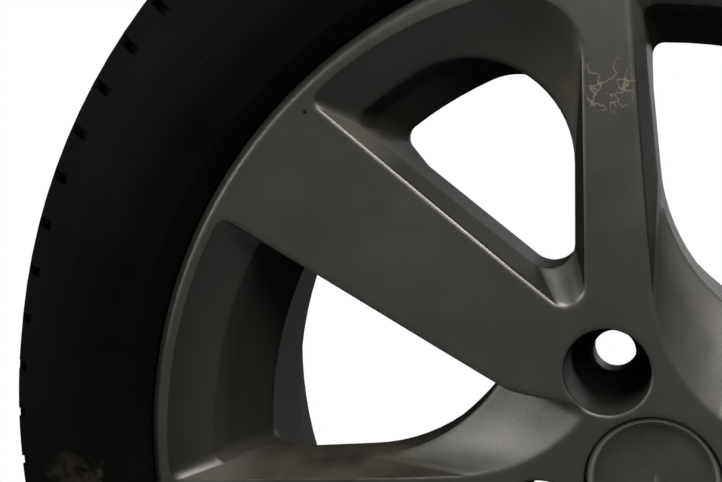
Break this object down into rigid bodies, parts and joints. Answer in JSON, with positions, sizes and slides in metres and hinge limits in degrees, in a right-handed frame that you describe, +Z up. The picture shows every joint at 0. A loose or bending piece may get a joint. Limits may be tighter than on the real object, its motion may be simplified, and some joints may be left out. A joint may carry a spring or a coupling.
{
  "type": "alloy road wheel with tyre",
  "caption": "Cast alloy car wheel with paired wide and narrow spokes, low-profile tyre, bare centre cap, snap-in valve and balance weights.",
  "frame": {"origin": "centre of the wheel on its spin axis, at the middle plane of the rim", "axes": "+Y along the spin axis towards the car, the outer face looks to -Y, +Z up as in the picture"},
  "size_m": [0.6008, 0.1954, 0.6007],
  "materials": {
    "painted_alloy": "satin grey wheel paint with worn lacquer",
    "tyre_rubber": "matt black rubber",
    "cap_paint": "satin grey paint",
    "spring_wire": "bright wire",
    "valve_rubber": "matt",
    "brass": "dull",
    "core_brass": "dull",
    "cap_plastic": "matt",
    "weight_steel": "zinc grey",
    "foam_tape": "matt foam"
  },
  "bodies": {
    "root": {"alloy_wheel": "painted_alloy", "tyre": "tyre_rubber", "centre_cap": "cap_paint", "cap_spring_ring": "spring_wire", "valve_rubber_body": "valve_rubber", "valve_brass_stem": "brass", "valve_core": "core_brass", "valve_cap": "cap_plastic", "balance_weights": "weight_steel", "balance_weight_tape": "foam_tape"}
  },
  "joints": []
}
